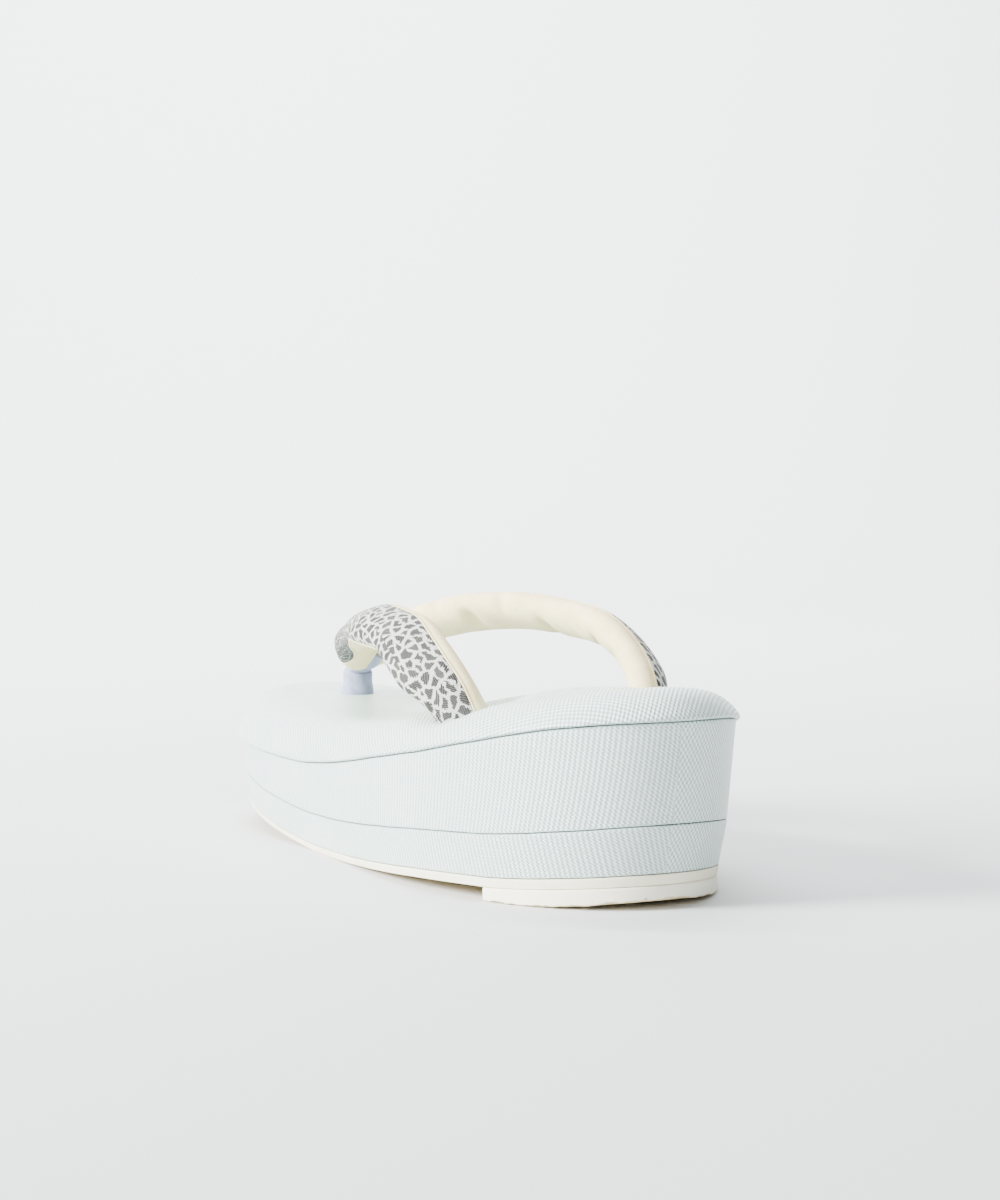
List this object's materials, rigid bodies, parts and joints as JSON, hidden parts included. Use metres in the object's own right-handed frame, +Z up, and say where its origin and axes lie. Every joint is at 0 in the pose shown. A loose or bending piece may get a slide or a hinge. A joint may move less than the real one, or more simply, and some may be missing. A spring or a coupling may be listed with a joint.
{
  "type": "zori sandal",
  "caption": "Zori sandal with a two-tier covered wedge, padded footbed and padded thong straps, for either foot",
  "frame": {"origin": "On the floor, under the middle of the sandal's bounding box", "axes": "+X is to the wearer's right, +Y runs from the heel to the toe along the longest extent, +Z is up"},
  "size_m": [0.087, 0.24, 0.0719],
  "materials": {
    "heel_rubber": "whitish rubber with a slightly wavy cut edge",
    "sole_rubber": "cream rubber sheet",
    "tier_canvas": "pearl white coated canvas with a fine diamond weave",
    "wedge_canvas": "pearl white coated canvas with a fine diamond weave",
    "footbed_canvas": "pearl white coated canvas over padding",
    "strap_brocade": "silver brocade of irregular cells on white, lined with ivory felt",
    "thong_cotton": "pale lavender cotton"
  },
  "bodies": {
    "root": {"heel_lift": "heel_rubber", "outsole": "sole_rubber", "lower_tier": "tier_canvas", "upper_tier": "wedge_canvas", "footbed": "footbed_canvas", "straps": "strap_brocade", "toe_thong": "thong_cotton"}
  },
  "joints": []
}
